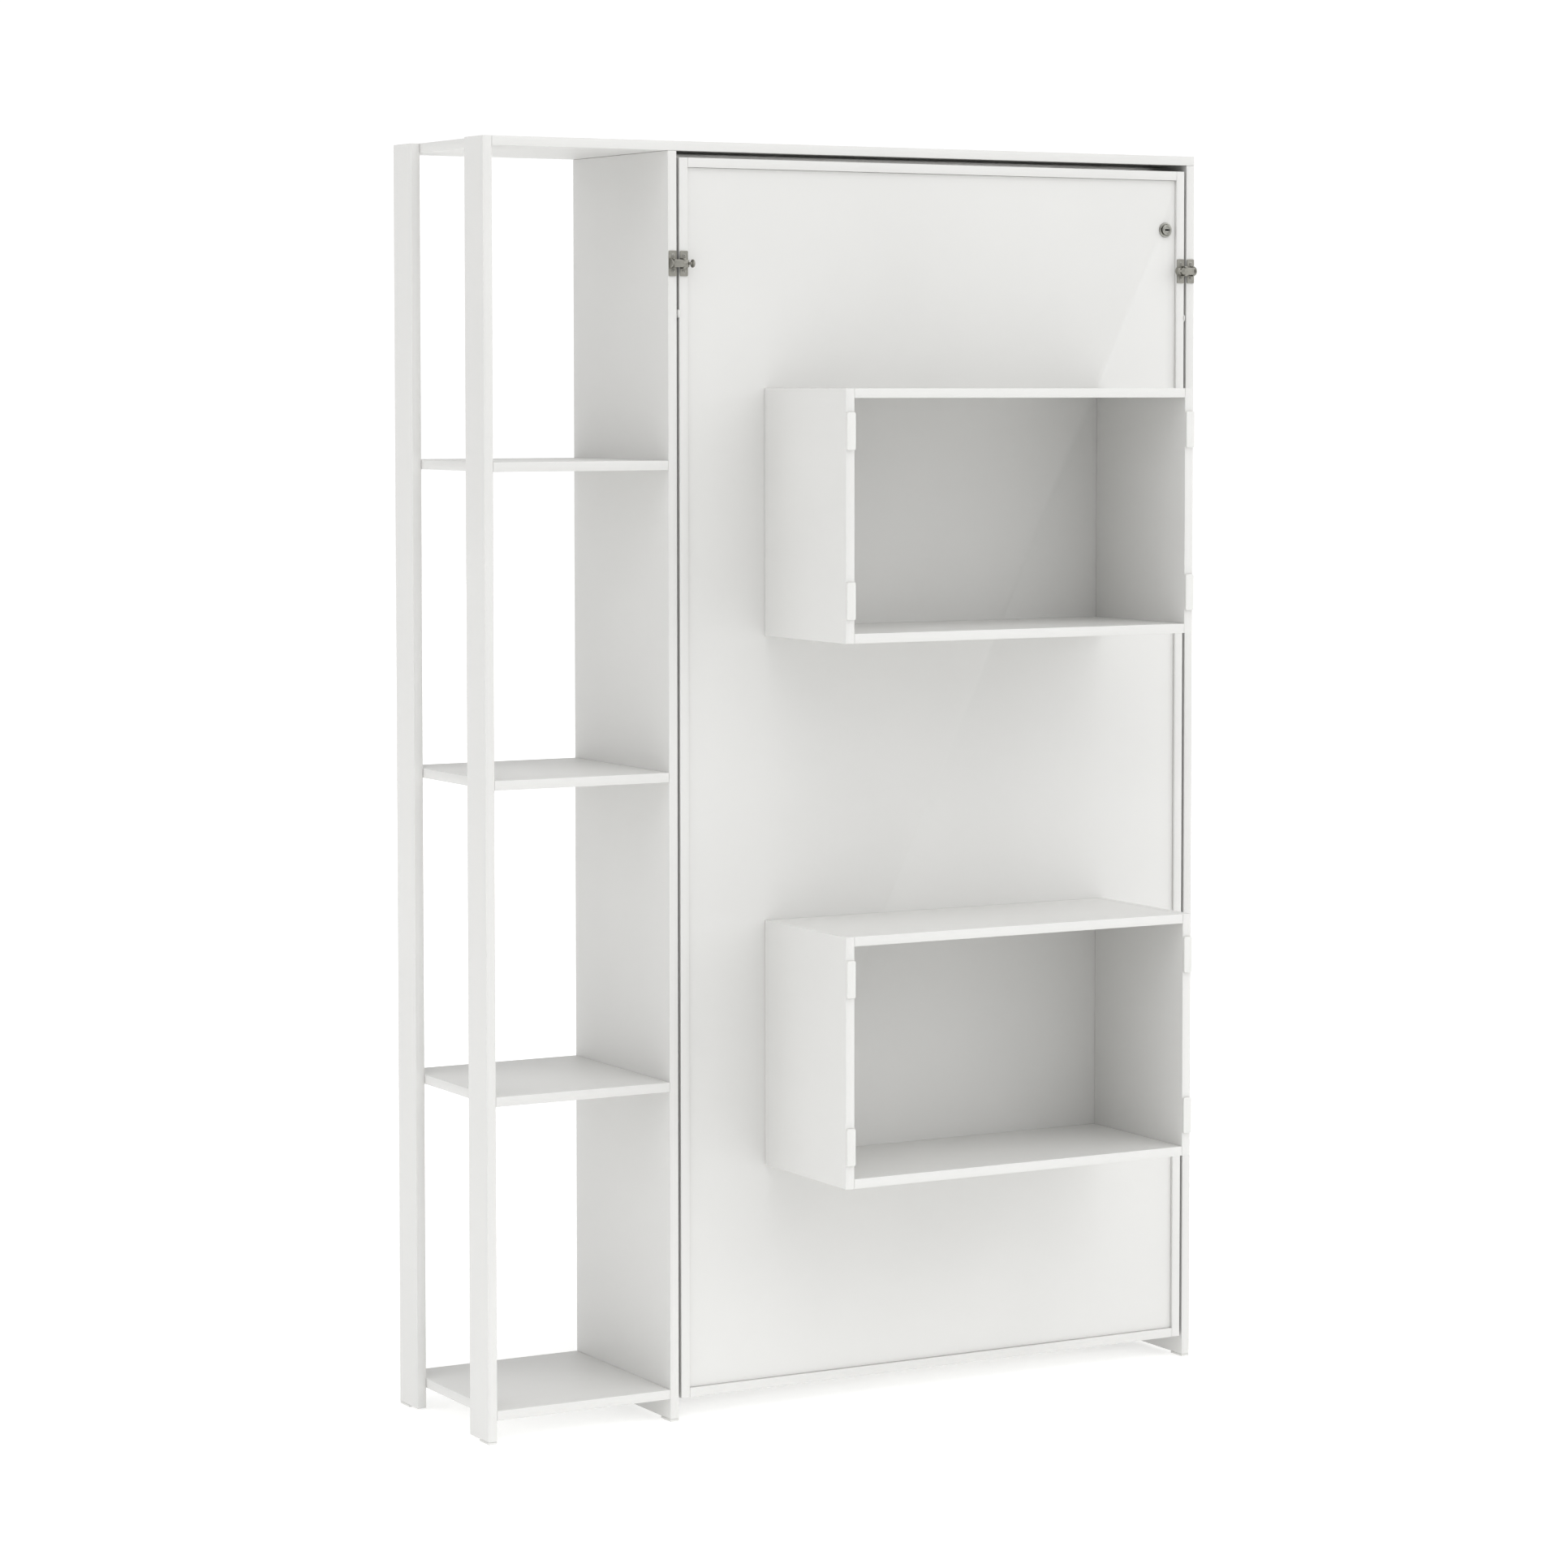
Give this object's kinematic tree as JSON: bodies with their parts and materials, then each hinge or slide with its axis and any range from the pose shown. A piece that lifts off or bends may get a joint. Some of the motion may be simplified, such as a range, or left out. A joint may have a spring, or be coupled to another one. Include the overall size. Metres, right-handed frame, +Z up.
{
  "type": "wall bed",
  "caption": "Vertical wall bed in a white cabinet with an open side shelf unit; the bed folds down to the front and rests on its front cubbies.",
  "frame": {"origin": "middle of the footprint, on the floor", "axes": "+X to the right seen from the front, +Y to the wall, +Z up"},
  "size_m": [1.39, 0.632, 2.15],
  "materials": {
    "melamine": "satin",
    "white_plastic": "matte",
    "zinc": "satin",
    "nickel": "satin",
    "steel": "satin",
    "black_steel": "satin",
    "chrome": "polished",
    "beech": "satin",
    "ticking": "matte"
  },
  "bodies": {
    "cabinet": {"back_post": "melamine", "bottom_shelf": "melamine", "bottom_wall_rail": "melamine", "divider_front_glide": "white_plastic", "divider_panel": "melamine", "divider_rear_glide": "white_plastic", "front_post": "melamine", "left_latch_strike": "zinc", "left_pivot_plate": "steel", "left_strut_bracket": "steel", "lower_shelf": "melamine", "middle_shelf": "melamine", "post_front_glide": "white_plastic", "post_rear_glide": "white_plastic", "right_front_glide": "white_plastic", "right_latch_strike": "zinc", "right_panel": "melamine", "right_pivot_plate": "steel", "right_rear_glide": "white_plastic", "right_strut_bracket": "steel", "stop_rail": "melamine", "top_panel": "melamine", "top_wall_rail": "melamine", "upper_shelf": "melamine"},
    "bed": {"foot_rail": "melamine", "front_panel": "melamine", "head_rail": "melamine", "left_latch_body": "zinc", "left_pivot_arm": "steel", "left_rail": "melamine", "lock_housing": "nickel", "lower_cubby_bottom": "melamine", "lower_cubby_left": "melamine", "lower_cubby_right": "melamine", "lower_cubby_top": "melamine", "lower_left_pad_high": "white_plastic", "lower_left_pad_low": "white_plastic", "lower_right_pad_high": "white_plastic", "lower_right_pad_low": "white_plastic", "mattress": "ticking", "right_latch_body": "zinc", "right_pivot_arm": "steel", "right_rail": "melamine", "slatted_base": "beech", "upper_cubby_bottom": "melamine", "upper_cubby_left": "melamine", "upper_cubby_right": "melamine", "upper_cubby_top": "melamine", "upper_left_pad_high": "white_plastic", "upper_left_pad_low": "white_plastic", "upper_right_pad_high": "white_plastic", "upper_right_pad_low": "white_plastic"},
    "left_bolt": {"left_latch_bolt": "zinc"},
    "right_bolt": {"right_latch_bolt": "zinc"},
    "lock_barrel": {"lock_plug": "nickel", "lock_cam": "steel"},
    "left_strut_tube": {"left_strut_cylinder": "black_steel"},
    "right_strut_tube": {"right_strut_cylinder": "black_steel"},
    "left_strut_piston": {"left_strut_rod": "chrome"},
    "right_strut_piston": {"right_strut_rod": "chrome"}
  },
  "joints": [
    {"name": "bed_fold", "type": "hinge", "parent": "cabinet", "child": "bed", "pos_m": [0.169, 0.006, 0.323], "axis": [1, 0, 0], "range_deg": [0, 90]},
    {"name": "left_strut_swing", "type": "hinge", "parent": "cabinet", "child": "left_strut_tube", "pos_m": [-0.3, 0.131, 0.9], "axis": [1, 0, 0], "range_deg": [-13.5, 0]},
    {"name": "left_strut_stroke", "type": "slide", "parent": "left_strut_tube", "child": "left_strut_piston", "axis": [0, -0.026, -0.9997], "range_m": [-0.0938, 0]},
    {"name": "right_strut_swing", "type": "hinge", "parent": "cabinet", "child": "right_strut_tube", "pos_m": [0.638, 0.131, 0.9], "axis": [1, 0, 0], "range_deg": [-13.5, 0]},
    {"name": "right_strut_stroke", "type": "slide", "parent": "right_strut_tube", "child": "right_strut_piston", "axis": [0, -0.026, -0.9997], "range_m": [-0.0938, 0]},
    {"name": "left_latch_slide", "type": "slide", "parent": "bed", "child": "left_bolt", "axis": [1, 0, 0], "range_m": [0, 0.008], "stiffness_N_per_m": 300, "springref_m": -0.004},
    {"name": "right_latch_slide", "type": "slide", "parent": "bed", "child": "right_bolt", "axis": [-1, 0, 0], "range_m": [0, 0.008], "stiffness_N_per_m": 300, "springref_m": -0.004},
    {"name": "lock_turn", "type": "hinge", "parent": "bed", "child": "lock_barrel", "pos_m": [0.637, -0.012, 2.0194], "axis": [0, 1, 0], "range_deg": [0, 90]}
  ],
  "couplings": [
    {"joint": "left_strut_swing", "follows": "bed_fold", "ratio": -0.14995},
    {"joint": "left_strut_stroke", "follows": "bed_fold", "m_per_rad": -0.059686},
    {"joint": "right_strut_swing", "follows": "bed_fold", "ratio": -0.14995},
    {"joint": "right_strut_stroke", "follows": "bed_fold", "m_per_rad": -0.059686}
  ]
}
